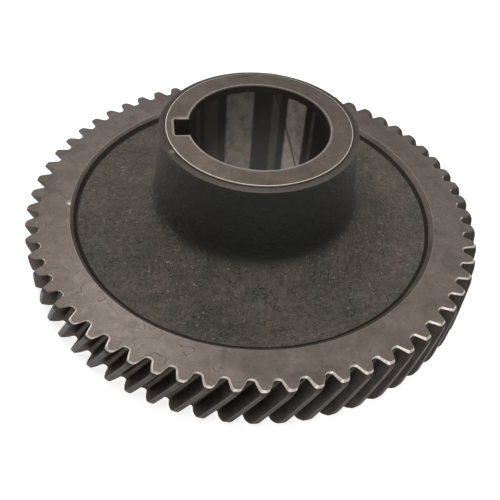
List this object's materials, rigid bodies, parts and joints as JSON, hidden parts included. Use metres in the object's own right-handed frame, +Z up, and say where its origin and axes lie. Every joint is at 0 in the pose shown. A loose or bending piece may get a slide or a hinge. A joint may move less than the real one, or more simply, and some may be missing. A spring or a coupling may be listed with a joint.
{
  "type": "helical transmission gear",
  "caption": "Right-hand helical gear with a raised tapered hub, a keyed bore and a flared web, forged and machined in one piece.",
  "frame": {"origin": "on the gear's axis, in the plane of the rim's lower face", "axes": "+Z up the gear's axis, towards the long end of the hub; -X through the middle of the keyway"},
  "size_m": [0.2244, 0.2244, 0.074],
  "materials": {
    "gear_steel": "oiled machined steel"
  },
  "bodies": {
    "root": {"helical_gear": "gear_steel"}
  },
  "joints": []
}
